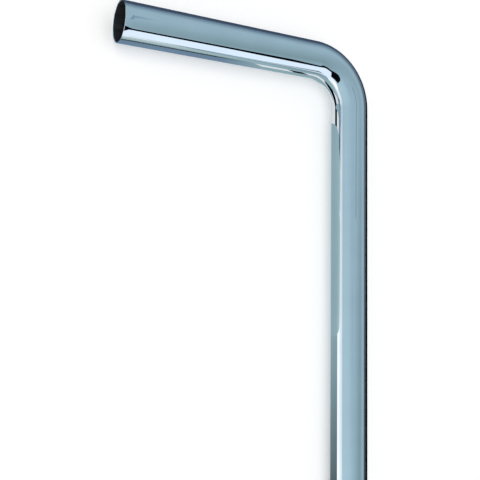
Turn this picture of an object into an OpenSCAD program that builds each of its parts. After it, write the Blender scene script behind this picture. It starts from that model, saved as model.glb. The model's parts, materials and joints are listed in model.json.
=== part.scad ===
// Bent floor waste pipe: one length of thin plated tube, bent once, with both ends cut square.
// It lies flat, as it would on a bench: the long leg runs along Y and the short arm points to -X.
// The origin is under the middle of the outline box, on the surface that the pipe lies on.

/* [Tube] */
// Outside diameter of the tube
tube_d = 32; // [25:0.5:40]
// Thickness of the tube's wall
wall = 0.8; // [0.6:0.1:1.5]

/* [Bend] */
// Radius of the bend, to the middle of the tube
bend_r = 40; // [36:1:80]
// Angle that the tube is bent through
bend_angle = 90; // [70:1:110]

/* [Lengths] */
// Long leg, from the crossing of the two centre lines to the floor end
leg_len = 700; // [250:5:1200]
// Short arm, from the crossing of the two centre lines to the trap end
arm_len = 215; // [130:5:400]

/* [Ends] */
// Bevel that takes the burr off each edge of a cut end
deburr = 0.2; // [0.1:0.05:0.25]

/* [Hidden] */
$fn = 96;
// The tube is drawn in metres, and the finished tube is scaled up to millimetres. The turned arm's
// place is rounded to a share of its size, and at this size that can't part it from the bend.
mm = 0.001;
tube_r = tube_d / 2;
bore_r = tube_r - wall;
// Distance from the crossing to where either straight run meets the bend
tangent_len = bend_r * tan(bend_angle / 2);
// Outline of the lying pipe, in millimetres from the centre of the bend
left_x = bend_r - arm_len * sin(bend_angle) - tube_r * abs(cos(bend_angle));
right_x = bend_r + tube_r;
low_y = tangent_len - leg_len;
arm_top_y = tangent_len + arm_len * cos(bend_angle) + tube_r * sin(bend_angle);
high_y = max(bend_r + tube_r, arm_top_y);

// Section of the wall beside the tube's axis, with its far end deburred inside and outside
module wall_section(length)
    polygon(mm * [
        [bore_r, 0],
        [tube_r, 0],
        [tube_r, length - deburr],
        [tube_r - deburr, length],
        [bore_r + deburr, length],
        [bore_r, length - deburr],
    ]);

// Straight run of tube along +Z, from the bend at z = 0 to a cut end
module straight_run(length)
    rotate_extrude()
        wall_section(length);

// The bend, from +X round towards +Y about its own centre
module bend()
    rotate_extrude(angle = bend_angle)
        translate([bend_r * mm, 0])
            difference() {
                circle(tube_r * mm);
                circle(bore_r * mm);
            }

// The whole tube in metres, with the centre of its bend at the origin
module bent_tube() {
    bend();
    translate([bend_r * mm, 0, 0])
        rotate([90, 0, 0])
            straight_run(leg_len - tangent_len);
    rotate([0, 0, bend_angle])
        translate([bend_r * mm, 0, 0])
            rotate([-90, 0, 0])
                straight_run(arm_len - tangent_len);
}

module waste_pipe()
    color("lightsteelblue")
        translate([-(left_x + right_x) / 2, -(low_y + high_y) / 2, tube_r])
            scale(1 / mm)
                bent_tube();

waste_pipe();
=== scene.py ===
# %% [markdown]
# The bent floor waste pipe. It is one length of thin brass tube, drawn straight, cut square, bent
# once round a former and then polished and plated. Its short arm takes the trap under a basin, and
# its long leg goes down into the drain. Loose on a floor it lies flat on its side.
# This lesson makes the tube as a workshop does: the wall of a straight tube first, then the bend.
# After that come the plating, the dull bore with its colour painted dark for shade, and a small
# studio of glowing cards that paint the reflections, because a mirror only shows what stands round
# it. All sizes are in metres, in the frame of the finished construction.

# %% Load the frame
import json
import math

import bmesh
import bpy
from mathutils import Euler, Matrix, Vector


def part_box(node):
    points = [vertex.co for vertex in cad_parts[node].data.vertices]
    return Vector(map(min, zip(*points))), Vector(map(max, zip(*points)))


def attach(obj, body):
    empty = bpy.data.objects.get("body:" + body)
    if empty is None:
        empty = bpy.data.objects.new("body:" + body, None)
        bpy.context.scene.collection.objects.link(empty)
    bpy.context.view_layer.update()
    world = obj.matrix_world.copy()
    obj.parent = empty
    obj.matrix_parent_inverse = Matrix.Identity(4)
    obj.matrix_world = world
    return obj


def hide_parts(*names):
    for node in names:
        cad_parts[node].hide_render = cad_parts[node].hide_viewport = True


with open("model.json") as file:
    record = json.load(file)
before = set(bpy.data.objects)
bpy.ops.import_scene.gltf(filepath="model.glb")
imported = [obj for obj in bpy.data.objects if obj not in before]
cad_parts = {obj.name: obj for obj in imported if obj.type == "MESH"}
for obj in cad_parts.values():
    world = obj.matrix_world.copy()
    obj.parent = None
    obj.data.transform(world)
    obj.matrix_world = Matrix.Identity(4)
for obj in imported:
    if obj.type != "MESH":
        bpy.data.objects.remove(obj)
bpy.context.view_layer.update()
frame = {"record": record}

# %% [markdown]
# The frame knows the real pipe, so no size is typed twice. The record's pins and bores give the
# radii, the centre lines and how long each straight run is, and the box gives where the ends are.
# What is left of each side of the corner belongs to the bend.

# %% Sizes of the tube
MM = 0.001
low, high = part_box("waste_pipe")
mounts = {mount["name"]: mount for mount in frame["record"]["mounts"]}
rim_rounding = 0.2 * MM
tube_radius = mounts["trap_end"]["dims"]["r_mm"] * MM
bore_radius = mounts["trap_bore"]["dims"]["r_mm"] * MM
arm_run = mounts["trap_end"]["dims"]["length_mm"] * MM + rim_rounding
leg_run = mounts["floor_end"]["dims"]["length_mm"] * MM + rim_rounding
leg_x = mounts["floor_end"]["pos_m"][0]
arm_y = mounts["trap_end"]["pos_m"][1]
bend_radius = leg_x - low.x - arm_run
bend_angle = math.radians(90)
bend_centre = Vector((leg_x - bend_radius, arm_y - bend_radius, tube_radius))
print(f"tube {2 * tube_radius / MM:.1f} mm, wall {(tube_radius - bore_radius) / MM:.2f} mm")
print(f"bend radius {bend_radius / MM:.1f} mm, arm {arm_run / MM:.1f} mm, leg {leg_run / MM:.1f} mm")

# %% [markdown]
# The camera stands where the photograph's camera stood, half a metre above the floor and looking
# down past the open end. Its place, turn and lens come from fitting the pipe's outline in the
# picture. The line it prints says at which pixel the two centre lines are seen to cross.

# %% Camera
FRAME_PIXELS = 480
camera_place = Vector((-0.26787, 0.14893, 0.49707))
camera_turn = Euler((math.radians(3.058), math.radians(-28.196), math.radians(0.725)), "XYZ")
camera_data = bpy.data.cameras.new("camera")
camera_data.sensor_width = 36
camera_data.lens = 50.565
camera_data.clip_start = 0.01
camera = bpy.data.objects.new("camera", camera_data)
camera.location = camera_place
camera.rotation_euler = camera_turn
bpy.context.scene.collection.objects.link(camera)
bpy.context.scene.camera = camera


def seen_at(point):
    """Pixel of the square picture at which the camera sees a point."""
    local = camera_turn.to_matrix().transposed() @ (Vector(point) - camera_place)
    focus = camera_data.lens / camera_data.sensor_width * FRAME_PIXELS
    half = FRAME_PIXELS / 2
    return half - local.x / local.z * focus, half + local.y / local.z * focus


crossing = (leg_x, arm_y, tube_radius)
print("centre lines cross at pixel", [round(v, 1) for v in seen_at(crossing)])

# %% [markdown]
# Four small helpers keep the node trees readable. One writes or links an input, one adds a node
# and fills its inputs, one adds a step of arithmetic, and one gives a tree a named input together
# with the value that this pipe uses.

# %% Helpers for node trees


def fill(tree, socket, value):
    """Link a socket to another node's output, or write a plain value into it."""
    if isinstance(value, bpy.types.NodeSocket):
        tree.links.new(value, socket)
    else:
        socket.default_value = value


def add_node(tree, kind, inputs=None, **settings):
    """Add a node, set its options, and fill the inputs that are given by name or by number."""
    node = tree.nodes.new(kind)
    for name, value in settings.items():
        setattr(node, name, value)
    for name, value in (inputs or {}).items():
        fill(tree, node.inputs[name], value)
    return node


def maths(tree, operation, *values):
    """Add one step of arithmetic and give its result."""
    return add_node(tree, "ShaderNodeMath", dict(enumerate(values)), operation=operation).outputs[0]


def add_input(tree, name, kind, value):
    """Give a tree a named input. Its identifier and this pipe's value are kept for the modifier."""
    socket = tree.interface.new_socket(name=name, in_out="INPUT", socket_type=kind)
    return socket.identifier, value


# %% [markdown]
# The tube's wall, cut open along its length, is a long thin rectangle: along the outside, round the
# cut end, back along the bore and round the other end. Eight corners describe it instead of four,
# because the rows of faces have to lie close in the bend and may lie far apart on the straights.

# %% Named inputs of the tube
tube_tree = bpy.data.node_groups.new("bent tube", "GeometryNodeTree")
tube_tree.interface.new_socket(name="Geometry", in_out="OUTPUT", socket_type="NodeSocketGeometry")
tube_inputs = [
    add_input(tube_tree, "Tube radius", "NodeSocketFloat", tube_radius),
    add_input(tube_tree, "Bore radius", "NodeSocketFloat", bore_radius),
    add_input(tube_tree, "Rim rounding", "NodeSocketFloat", rim_rounding),
    add_input(tube_tree, "Leg run", "NodeSocketFloat", leg_run),
    add_input(tube_tree, "Arm run", "NodeSocketFloat", arm_run),
    add_input(tube_tree, "Bend radius", "NodeSocketFloat", bend_radius),
    add_input(tube_tree, "Bend angle", "NodeSocketFloat", bend_angle),
    add_input(tube_tree, "Bend centre", "NodeSocketVector", bend_centre),
    add_input(tube_tree, "Sides", "NodeSocketInt", 192),
    add_input(tube_tree, "Rows in the bend", "NodeSocketInt", 96),
    add_input(tube_tree, "Rows on a straight", "NodeSocketInt", 24),
]
size_of = add_node(tube_tree, "NodeGroupInput").outputs
print("inputs:", ", ".join(socket.name for socket in size_of if socket.name))

# %% Corners of the wall's section
arc_length = maths(tube_tree, "MULTIPLY", size_of["Bend radius"], size_of["Bend angle"])
floor_end = maths(tube_tree, "MULTIPLY", size_of["Leg run"], -1)
trap_end = maths(tube_tree, "ADD", arc_length, size_of["Arm run"])
stations = [floor_end, 0, arc_length, trap_end]


def section_corner(radius, along):
    """A corner of the wall's section, which has the radius on X and the tube's length on Y."""
    return add_node(tube_tree, "ShaderNodeCombineXYZ", {"X": radius, "Y": along}).outputs[0]


def switch_by_index(kind, choices):
    """Give the first point the first choice, the second point the second, and so on."""
    node = add_node(tube_tree, "GeometryNodeIndexSwitch", data_type=kind)
    while len(node.index_switch_items) < len(choices):
        node.index_switch_items.new()
    fill(tube_tree, node.inputs["Index"], add_node(tube_tree, "GeometryNodeInputIndex").outputs[0])
    for number, choice in enumerate(choices):
        fill(tube_tree, node.inputs[str(number)], choice)
    return node.outputs[0]


outside = [section_corner(size_of["Tube radius"], along) for along in stations]
inside = [section_corner(size_of["Bore radius"], along) for along in reversed(stations)]
corners = outside + inside
print("the section has", len(corners), "corners")

# %% Section of the wall as a closed line
corner_points = add_node(
    tube_tree,
    "GeometryNodePoints",
    {"Count": len(corners), "Position": switch_by_index("VECTOR", corners)},
)
corner_line = add_node(
    tube_tree, "GeometryNodePointsToCurves", {"Points": corner_points.outputs[0]}
)
section_loop = add_node(
    tube_tree,
    "GeometryNodeSetSplineCyclic",
    {"Geometry": corner_line.outputs[0], "Cyclic": True},
)
straight_rows = size_of["Rows on a straight"]
one_way = [straight_rows, size_of["Rows in the bend"], straight_rows]
rows_after_corner = one_way + [0] + one_way + [0]
section_rows = add_node(
    tube_tree,
    "GeometryNodeSubdivideCurve",
    {"Curve": section_loop.outputs[0], "Cuts": switch_by_index("INT", rows_after_corner)},
)

# %% [markdown]
# A tube cutter or a saw leaves a sharp edge, and it is taken off before the tube is polished. Only
# the corners at the two ends get that small rounding. The others lie on a straight line and keep
# a radius of nothing.

# %% Rounded edges of the cut ends
SAME_PLACE = 0.001 * MM
place = add_node(tube_tree, "GeometryNodeInputPosition").outputs[0]
along = add_node(tube_tree, "ShaderNodeSeparateXYZ", {0: place}).outputs["Y"]
at_floor_end = maths(tube_tree, "COMPARE", along, floor_end, SAME_PLACE)
at_trap_end = maths(tube_tree, "COMPARE", along, trap_end, SAME_PLACE)
at_an_end = maths(tube_tree, "ADD", at_floor_end, at_trap_end)
wall_section = add_node(
    tube_tree,
    "GeometryNodeFilletCurve",
    {
        "Curve": section_rows.outputs[0],
        "Count": 4,
        "Radius": maths(tube_tree, "MULTIPLY", at_an_end, size_of["Rim rounding"]),
    },
    mode="POLY",
)

# %% [markdown]
# Spinning the section once round makes the whole wall as one closed skin, with no seam to weld.
# The spin needs a ring to follow and a section measured from that ring, so the section first
# steps in by the bore's radius. The tube comes out standing up, and a turn lays it along Y.

# %% Straight tube
ring = add_node(
    tube_tree,
    "GeometryNodeCurvePrimitiveCircle",
    {"Resolution": size_of["Sides"], "Radius": size_of["Bore radius"]},
)
step_in = maths(tube_tree, "MULTIPLY", size_of["Bore radius"], -1)
section_at_ring = add_node(
    tube_tree,
    "GeometryNodeTransform",
    {
        "Geometry": wall_section.outputs[0],
        "Translation": add_node(tube_tree, "ShaderNodeCombineXYZ", {"X": step_in}).outputs[0],
    },
)
standing_tube = add_node(
    tube_tree,
    "GeometryNodeCurveToMesh",
    {"Curve": ring.outputs[0], "Profile Curve": section_at_ring.outputs[0]},
)
straight_tube = add_node(
    tube_tree,
    "GeometryNodeTransform",
    {"Geometry": standing_tube.outputs[0], "Rotation": (math.radians(90), 0, 0)},
)

# %% [markdown]
# The grain of the metal was there before the bend, so every point keeps its place on the straight
# tube as an attribute, and the finish can follow the tube round the corner. The faces of the bore
# are marked too, while their distance from the straight axis still tells them apart.

# %% Marks that the finish needs
tube_place = add_node(
    tube_tree,
    "GeometryNodeStoreNamedAttribute",
    {"Geometry": straight_tube.outputs[0], "Name": "unbent", "Value": place},
    data_type="FLOAT_VECTOR",
    domain="POINT",
)
across = add_node(tube_tree, "ShaderNodeVectorMath", {0: place, 1: (1, 0, 1)}, operation="MULTIPLY")
from_axis = add_node(
    tube_tree, "ShaderNodeVectorMath", {0: across.outputs[0]}, operation="LENGTH"
).outputs["Value"]
bore_limit = maths(tube_tree, "ADD", size_of["Bore radius"], SAME_PLACE)
marked_tube = add_node(
    tube_tree,
    "GeometryNodeStoreNamedAttribute",
    {
        "Geometry": tube_place.outputs[0],
        "Name": "in the bore",
        "Value": maths(tube_tree, "LESS_THAN", from_axis, bore_limit),
    },
    data_type="BOOLEAN",
    domain="FACE",
)

# %% [markdown]
# The bending rule is the former's own. Up to the start of the bend a point stays where it is. From
# there on, the stretch that has run on to the former turns into an angle about its centre, and
# what lies past the bend goes round with it as a stiff bar. One clamp gives all three cases.

# %% Bend
stretched = add_node(
    tube_tree,
    "ShaderNodeVectorMath",
    {0: place, 1: add_node(tube_tree, "ShaderNodeCombineXYZ", {"X": size_of["Bend radius"]}).outputs[0]},
    operation="ADD",
).outputs[0]
on_former = add_node(tube_tree, "ShaderNodeClamp", {"Value": along, "Min": 0, "Max": arc_length})
back_by = add_node(tube_tree, "ShaderNodeCombineXYZ", {"Y": on_former.outputs[0]}).outputs[0]
run_back = add_node(
    tube_tree, "ShaderNodeVectorMath", {0: stretched, 1: back_by}, operation="SUBTRACT"
)
turned = add_node(
    tube_tree,
    "ShaderNodeVectorRotate",
    {
        "Vector": run_back.outputs[0],
        "Angle": maths(tube_tree, "DIVIDE", on_former.outputs[0], size_of["Bend radius"]),
    },
    rotation_type="Z_AXIS",
)
in_the_frame = add_node(
    tube_tree,
    "ShaderNodeVectorMath",
    {0: turned.outputs[0], 1: size_of["Bend centre"]},
    operation="ADD",
)
bent_tube = add_node(
    tube_tree,
    "GeometryNodeSetPosition",
    {"Geometry": marked_tube.outputs[0], "Position": in_the_frame.outputs[0]},
)

# %% Finishes at the end of the tree
plated = bpy.data.materials.new("polished plate")
shade_painted_bore = bpy.data.materials.new("dull bore with painted shade")
smooth = add_node(
    tube_tree,
    "GeometryNodeSetShadeSmooth",
    {"Geometry": bent_tube.outputs[0], "Shade Smooth": True},
)
real_mesh = add_node(tube_tree, "GeometryNodeRealizeInstances", {"Geometry": smooth.outputs[0]})
outer_finish = add_node(
    tube_tree, "GeometryNodeSetMaterial", {"Geometry": real_mesh.outputs[0], "Material": plated}
)
in_bore = add_node(
    tube_tree, "GeometryNodeInputNamedAttribute", {"Name": "in the bore"}, data_type="BOOLEAN"
)
bore_finish = add_node(
    tube_tree,
    "GeometryNodeSetMaterial",
    {
        "Geometry": outer_finish.outputs[0],
        "Selection": in_bore.outputs["Attribute"],
        "Material": shade_painted_bore,
    },
)
add_node(tube_tree, "NodeGroupOutput", {"Geometry": bore_finish.outputs[0]})
print("the tree has", len(tube_tree.nodes), "nodes")

# %% Plain mesh of the pipe
blank = bpy.data.objects.new("blank", bpy.data.meshes.new("blank"))
bpy.context.scene.collection.objects.link(blank)
tube_modifier = blank.modifiers.new("bent tube", "NODES")
tube_modifier.node_group = tube_tree
for identifier, value in tube_inputs:
    tube_modifier[identifier] = value
made = blank.evaluated_get(bpy.context.evaluated_depsgraph_get())
pipe = bpy.data.objects.new("chrome_waste_pipe", bpy.data.meshes.new_from_object(made))
pipe.data.name = "chrome_waste_pipe"
bpy.context.scene.collection.objects.link(pipe)
bpy.data.objects.remove(blank)

# %% [markdown]
# A closed skin with its faces outwards has a positive volume, and here that volume is known: the
# ring of metal times the length of the centre line. The two numbers agree only if the section, the
# spin and the bend are all right.

# %% Measure the pipe
skin = bmesh.new()
skin.from_mesh(pipe.data)
skin_volume = skin.calc_volume(signed=True) / MM**3
open_edges = sum(edge.is_boundary for edge in skin.edges)
skin.free()
tube_length = arm_run + leg_run + bend_radius * bend_angle
metal = math.pi * (tube_radius**2 - bore_radius**2) * tube_length / MM**3
print(f"volume {skin_volume:.0f} of {metal:.0f} cubic mm, open edges {open_edges}")
print("triangles:", sum(len(face.vertices) - 2 for face in pipe.data.polygons))

# %% Place in the frame
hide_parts("waste_pipe")
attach(pipe, "root")
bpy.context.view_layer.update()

# %% [markdown]
# Bright plating is nearly a mirror, with a cool tint. What tells it from a perfect mirror is what
# the polishing left: faint draw lines that run with the tube, a slow swell that makes the
# reflections waver, and a breath of cloudiness in the gloss. All three are read from the place on
# the straight tube, so they go round the bend with the metal.

# %% Helpers for the finishes


def start_material(material):
    """Clear a material's tree, and give the tree and the shader that makes its surface."""
    material.use_nodes = True
    tree = material.node_tree
    tree.nodes.clear()
    shader = tree.nodes.new("ShaderNodeBsdfPrincipled")
    add_node(tree, "ShaderNodeOutputMaterial", {"Surface": shader.outputs[0]})
    return tree, shader


def metal_noise(tree, scale, detail, along_tube=1.0):
    """Noise in the metal itself. A value below 1 for along_tube draws it out along the tube."""
    unbent = add_node(tree, "ShaderNodeAttribute", attribute_name="unbent").outputs["Vector"]
    drawn = add_node(tree, "ShaderNodeMapping", {"Vector": unbent, "Scale": (1, along_tube, 1)})
    noise = add_node(
        tree,
        "ShaderNodeTexNoise",
        {"Vector": drawn.outputs[0], "Scale": scale, "Detail": detail, "Roughness": 0.5},
    )
    return noise.outputs[0]


def spread(tree, value, lowest, highest):
    """Spread a noise, which keeps near the middle of 0 to 1, over a range."""
    mapped = add_node(
        tree,
        "ShaderNodeMapRange",
        {"Value": value, "From Min": 0.3, "From Max": 0.7, "To Min": lowest, "To Max": highest},
    )
    return mapped.outputs[0]


def blend_colours(tree, value, first, second):
    """Blend two colours by a value from 0 to 1."""
    ramp = add_node(tree, "ShaderNodeValToRGB", {0: value})
    ramp.color_ramp.elements[0].color = (*first, 1)
    ramp.color_ramp.elements[1].color = (*second, 1)
    return ramp.outputs[0]


def bump(tree, shader, layers):
    """Stack bumps on a shader. Each layer is a height from 0 to 1 and its depth in metres."""
    normal = None
    for height, depth in layers:
        inputs = {"Height": height, "Distance": depth, "Strength": 1}
        if normal is not None:
            inputs["Normal"] = normal
        normal = add_node(tree, "ShaderNodeBump", inputs).outputs[0]
    fill(tree, shader.inputs["Normal"], normal)


# %% Polished plate
plate_tree, plate = start_material(plated)
plate.inputs["Metallic"].default_value = 1
cloudiness = spread(plate_tree, metal_noise(plate_tree, 40, 3), 0, 1)
plate_colour = blend_colours(plate_tree, cloudiness, (0.70, 0.75, 0.79), (0.66, 0.71, 0.75))
fill(plate_tree, plate.inputs["Base Color"], plate_colour)
gloss_noise = metal_noise(plate_tree, 120, 4, along_tube=0.15)
fill(plate_tree, plate.inputs["Roughness"], spread(plate_tree, gloss_noise, 0.025, 0.06))
swell = metal_noise(plate_tree, 45, 1, along_tube=0.5)
draw_lines = metal_noise(plate_tree, 900, 2, along_tube=0.02)
bump(plate_tree, plate, [(swell, 0.02 * MM), (draw_lines, 0.0006 * MM)])
print("polished plate:", len(plate_tree.nodes), "nodes")

# %% [markdown]
# Plating doesn't reach far into a tube, and nobody polishes a bore. Inside it stays dull and
# streaked along the draw, and its colour is painted nearly black: painted shade that stands in for
# the dark inside the tube. That is why the open end looks black.

# %% Dull bore with painted shade
bore_tree, bore = start_material(shade_painted_bore)
bore.inputs["Metallic"].default_value = 0
bore.inputs["Specular IOR Level"].default_value = 0.25
streaks = metal_noise(bore_tree, 260, 5, along_tube=0.05)
# Nearly black colours: painted shade for the inside of the tube, blended along the real streaks.
bore_streaks_and_painted_shade = blend_colours(
    bore_tree, spread(bore_tree, streaks, 0, 1), (0.012, 0.013, 0.015), (0.035, 0.036, 0.038)
)
fill(bore_tree, bore.inputs["Base Color"], bore_streaks_and_painted_shade)
fill(bore_tree, bore.inputs["Roughness"], spread(bore_tree, streaks, 0.5, 0.75))
bump(bore_tree, bore, [(streaks, 0.02 * MM)])
print("dull bore with painted shade:", len(bore_tree.nodes), "nodes")

# %% [markdown]
# The floor is a plain pale one. Its colour and a little of its own light make it white to the
# camera, and to the metal that mirrors it, while the shadow under the pipe still shows. The world
# behind it is white to the same rays, and lights everything else softly.

# %% Floor and world
FLOOR_HALF = 3.0
floor_mesh = bpy.data.meshes.new("floor")
floor_corners = [(x * FLOOR_HALF, y * FLOOR_HALF, 0) for x, y in ((-1, -1), (1, -1), (1, 1), (-1, 1))]
floor_mesh.from_pydata(floor_corners, [], [(0, 1, 2, 3)])
floor = bpy.data.objects.new("floor", floor_mesh)
bpy.context.scene.collection.objects.link(floor)


def seen_rays(tree):
    """1 for the rays that show a backdrop: from the camera, off metal, or through glass."""
    rays = add_node(tree, "ShaderNodeLightPath").outputs
    in_metal = maths(tree, "MAXIMUM", rays["Is Camera Ray"], rays["Is Glossy Ray"])
    return maths(tree, "MAXIMUM", in_metal, rays["Is Transmission Ray"])


floor_paint = bpy.data.materials.new("pale floor")
floor_tree, floor_shader = start_material(floor_paint)
floor_shader.inputs["Base Color"].default_value = (0.8, 0.8, 0.8, 1)
floor_shader.inputs["Roughness"].default_value = 0.9
floor_shader.inputs["Specular IOR Level"].default_value = 0
floor_shader.inputs["Emission Color"].default_value = (1, 1, 1, 1)
own_light = maths(floor_tree, "MULTIPLY", seen_rays(floor_tree), 0.33)
fill(floor_tree, floor_shader.inputs["Emission Strength"], own_light)
floor_mesh.materials.append(floor_paint)

WORLD_LIGHT = 0.55
world = bpy.data.worlds.new("studio")
bpy.context.scene.world = world
world.use_nodes = True
world.node_tree.nodes.clear()
shown_extra = maths(world.node_tree, "MULTIPLY", seen_rays(world.node_tree), 1 - WORLD_LIGHT)
background = add_node(
    world.node_tree,
    "ShaderNodeBackground",
    {"Color": (1, 1, 1, 1), "Strength": maths(world.node_tree, "ADD", shown_extra, WORLD_LIGHT)},
)
add_node(world.node_tree, "ShaderNodeOutputWorld", {"Surface": background.outputs[0]})

# %% Soft lamp overhead
lamp_data = bpy.data.lights.new("overhead lamp", "AREA")
lamp_data.shape = "RECTANGLE"
lamp_data.size = 1.6
lamp_data.size_y = 1.6
lamp_data.energy = 11
lamp = bpy.data.objects.new("overhead lamp", lamp_data)
lamp.location = (-0.3, 0.1, 1.5)
lamp.rotation_euler = (math.radians(0), math.radians(-12), 0)
lamp.visible_glossy = False
lamp.visible_camera = False
bpy.context.scene.collection.objects.link(lamp)

# %% [markdown]
# A mirror has no look of its own: it shows the room. So the reflections are painted: the studio is
# built from glowing cards that only the metal sees, in place of the paper and black flags that a
# photographer hangs round a chromed thing, and their paints are the light, shade and highlights that
# the metal shows. Each card is a ribbon. Its rungs have their own paints, and the paint blends from
# rung to rung.

# %% Cards that paint the reflections
painted_reflection_material = bpy.data.materials.new("painted reflection glow")
painted_reflection_material.use_nodes = True
painted_reflection_material.node_tree.nodes.clear()
paint_on_card = add_node(painted_reflection_material.node_tree, "ShaderNodeAttribute", attribute_name="paint")
painted_reflection_glow = add_node(
    painted_reflection_material.node_tree,
    "ShaderNodeEmission",
    {"Color": paint_on_card.outputs["Color"], "Strength": 1},
)
add_node(painted_reflection_material.node_tree, "ShaderNodeOutputMaterial", {"Surface": painted_reflection_glow.outputs[0]})


def hang_card(name, corners, paints, faces):
    """Make a glowing card that paints a reflection and shows in the metal only, with a paint at each
    corner.
    """
    mesh = bpy.data.meshes.new(name)
    mesh.from_pydata(corners, [], faces)
    layer = mesh.attributes.new("paint", "FLOAT_COLOR", "POINT")
    for spot, paint in zip(layer.data, paints):
        spot.color = (*paint, 1)
    mesh.materials.append(painted_reflection_material)
    card = bpy.data.objects.new(name, mesh)
    card.visible_camera = False
    card.visible_diffuse = False
    card.visible_transmission = False
    card.visible_shadow = False
    bpy.context.scene.collection.objects.link(card)
    return card


def ribbon(name, rungs):
    """A card from rungs. Each rung gives its two ends, and one paint or a paint for each end."""
    corners = [end for rung in rungs for end in rung[:2]]
    paints = [paint for rung in rungs for paint in (rung[2], rung[-1])]
    faces = [(2 * k, 2 * k + 1, 2 * k + 3, 2 * k + 2) for k in range(len(rungs) - 1)]
    return hang_card(name, corners, paints, faces)


# The cards' paints are painted light, shade and highlights for the metal to mirror; WHITE and BRIGHT glow
# brighter than white.
BLACK = (0.003, 0.003, 0.005)
NAVY = (0.06, 0.09, 0.14)
SLATE = (0.20, 0.30, 0.41)
TEAL = (0.35, 0.49, 0.53)
SAGE = (0.52, 0.66, 0.65)
SKY = (0.43, 0.59, 0.68)
PALE = (0.56, 0.75, 0.82)
WHITE = (1.05, 1.17, 1.3)
BRIGHT = (1.4, 1.4, 1.38)

# %% [markdown]
# The largest card is a tent that paints the grey-blue room seen in the metal, a painted reflection.
# It is worked out ring by ring: a plain paint all round, with a painted lit side behind the open
# corner of the pipe and a painted dark side across from the arm, which both fade into the plain paint.

# %% Tent
TENT_RADIUS = 3.0
TENT_STEP = 10
tent_middle = Vector((0.05, 0.2, 0))
lit_side = math.radians(-128)
dark_side = math.radians(118)
# Each ring: its height, then its plain paint, its painted lit paint and its painted dark paint.
tent_rings = [
    (0, (0.17, 0.26, 0.35), BRIGHT, BLACK),
    (6, (0.22, 0.33, 0.42), WHITE, BLACK),
    (14, (0.32, 0.46, 0.55), PALE, (0.06, 0.09, 0.12)),
    (28, SKY, PALE, SKY),
    (52, SKY, (0.52, 0.71, 0.81), (0.28, 0.41, 0.45)),
    (72, SKY, SKY, (0.36, 0.51, 0.58)),
    (90, SKY, SKY, SKY),
]


def mix(first, second, share):
    """Blend two paints."""
    return tuple(a + (b - a) * share for a, b in zip(first, second))


def side_share(azimuth, side, narrowness):
    """1 at a side of the tent, falling to 0 a quarter turn away from it."""
    return max(0.0, math.cos(azimuth - side)) ** narrowness


tent_corners, tent_paints, tent_faces = [], [], []
azimuths = [math.radians(turn) for turn in range(0, 360, TENT_STEP)]
for height, plain, lit, dark in tent_rings:
    rise = math.radians(height)
    for azimuth in azimuths:
        level = math.cos(rise) * TENT_RADIUS
        out = Vector((math.sin(azimuth) * level, math.cos(azimuth) * level, math.sin(rise) * TENT_RADIUS))
        tent_corners.append(tent_middle + out)
        with_lit = mix(plain, lit, side_share(azimuth, lit_side, 1.0))
        tent_paints.append(mix(with_lit, dark, side_share(azimuth, dark_side, 1.5)))
around = len(azimuths)
for ring_number in range(len(tent_rings) - 1):
    for k in range(around):
        a, b = ring_number * around + k, ring_number * around + (k + 1) % around
        tent_faces.append((a, b, b + around, a + around))
hang_card("tent", tent_corners, tent_paints, tent_faces)

# %% Painted highlight card and painted dark reflection card
WALL_Y = -0.9
HIGHLIGHT_TOP = 0.92
# A painted highlight: a glowing white band low on the wall, seen only in the metal.
ribbon(
    "painted highlight card",
    [
        ((-1.4, WALL_Y, 0), (-1.4, WALL_Y, 0.35), BRIGHT),
        ((-0.6, WALL_Y, 0), (-0.6, WALL_Y, 0.5), BRIGHT),
        ((-0.05, WALL_Y, 0), (-0.05, WALL_Y, 0.42), WHITE),
        ((0.2, WALL_Y, 0), (0.2, WALL_Y, HIGHLIGHT_TOP), WHITE),
        ((0.7, WALL_Y, 0), (0.7, WALL_Y, HIGHLIGHT_TOP), WHITE),
        ((1.1, WALL_Y, 0), (1.1, WALL_Y, 0.7), WHITE),
    ],
)
# A painted dark reflection above the highlight.
ribbon(
    "painted dark reflection card",
    [
        ((-0.75, WALL_Y, 0.75), (-0.55, WALL_Y, 1.5), BLACK),
        ((-0.3, WALL_Y, 0.55), (-0.3, WALL_Y, 1.8), BLACK),
        ((-0.05, WALL_Y, 0.42), (0, WALL_Y, 1.85), BLACK),
        ((0.2, WALL_Y, HIGHLIGHT_TOP), (0.2, WALL_Y, 1.5), BLACK),
        ((0.4, WALL_Y, HIGHLIGHT_TOP), (0.4, WALL_Y, 1.22), BLACK),
        ((0.7, WALL_Y, HIGHLIGHT_TOP), (0.7, WALL_Y, 1.3), BLACK),
        ((1.1, WALL_Y, 0.7), (1.1, WALL_Y, 1.35), BLACK),
    ],
)
# A painted darker streak overhead, seen in the metal.
ribbon(
    "painted dark streak overhead",
    [
        ((0.15, 0.34, 1.5), (0.30, 1.0, 1.5), SKY),
        ((0.19, 0.34, 1.5), (0.34, 1.0, 1.5), (0.25, 0.37, 0.46)),
        ((0.25, 0.34, 1.5), (0.42, 1.0, 1.5), (0.28, 0.41, 0.52)),
        ((0.33, 0.34, 1.5), (0.50, 1.0, 1.5), SKY),
    ],
)

# %% Painted floor reflections
ABOVE_FLOOR = 0.0004


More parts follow.
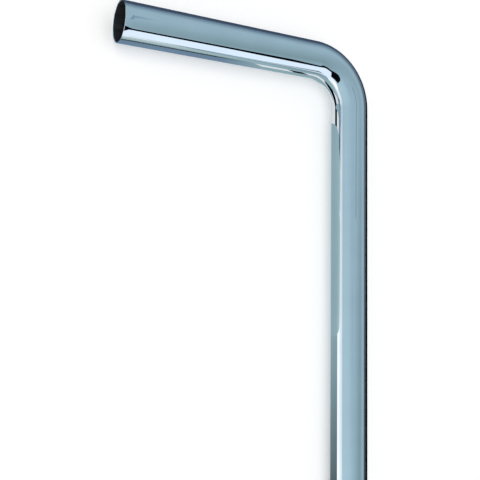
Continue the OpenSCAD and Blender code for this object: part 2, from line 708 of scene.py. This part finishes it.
def beside_arm(name, start, end, stops):
    """A card on the floor along the arm that paints the floor's reflection. Stops are distances from its
    axis, with their paints.
    """
    rungs = []
    for distance, *paints in stops:
        place_y = arm_y - distance
        rungs.append(((start, place_y, ABOVE_FLOOR), (end, place_y, ABOVE_FLOOR), *paints))
    return ribbon(name, rungs)


def beside_leg(name, start, end, stops):
    """A card on the floor along the leg that paints the floor's reflection. Stops are distances from its
    axis, with their paints.
    """
    rungs = []
    for distance, *paints in stops:
        place_x = leg_x - distance
        rungs.append(((place_x, start, ABOVE_FLOOR), (place_x, end, ABOVE_FLOOR), *paints))
    return ribbon(name, rungs)


# These cards paint the floor as the metal mirrors it: the darker paints next to the pipe are painted
# contact shade, the black bands are painted dark lines, and SAGE, WHITE and BRIGHT are painted light.
mouth_x = low.x - 0.05
beside_arm(
    "painted floor reflection by the mouth",
    mouth_x,
    -0.02,
    [
        (0.004, SLATE),
        (0.043, SLATE),
        (0.045, BLACK),
        (0.058, BLACK),
        (0.062, SAGE),
        (0.105, SAGE),
        (0.125, WHITE),
    ],
)
beside_arm(
    "painted floor reflection along the arm",
    -0.02,
    0.02,
    [
        (0.004, SLATE, TEAL),
        (0.043, SLATE, TEAL),
        (0.045, BLACK, TEAL),
        (0.058, BLACK, TEAL),
        (0.062, SAGE, TEAL),
        (0.105, SAGE, SAGE),
    ],
)
beside_arm("painted floor reflection in the corner", 0.02, 0.075, [(0.004, TEAL), (0.034, TEAL)])
# A painted black patch in the reflection of the bend's inner corner.
beside_arm("painted dark reflection in the corner", 0.054, 0.07, [(0.034, BLACK), (0.050, BLACK)])
beside_leg(
    "painted floor reflection along the leg",
    0.10,
    0.292,
    [(0.004, TEAL), (0.055, (0.40, 0.57, 0.62)), (0.07, SAGE, (0.40, 0.55, 0.60)), (0.25, WHITE, SAGE)],
)
beside_leg(
    "painted floor reflection by the floor end",
    -0.10,
    0.10,
    [(0.004, BLACK, TEAL), (0.055, BLACK, TEAL), (0.06, BRIGHT), (0.25, BRIGHT, WHITE)],
)
# Painted dark reflections beyond the arm and the leg, which give the tube its dark outer edges.
beside_arm(
    "painted dark reflection past the arm",
    low.x - 0.3,
    1.5,
    [(-0.018, NAVY), (-0.08, NAVY), (-0.25, (0.12, 0.18, 0.26)), (-1.5, SLATE)],
)
beside_leg(
    "painted dark reflection past the leg",
    -1.5,
    arm_y + 0.018,
    [(-0.018, BLACK), (-0.3, BLACK), (-1.5, BLACK)],
)

# %% Close the lesson
bpy.context.scene.view_settings.view_transform = "Standard"
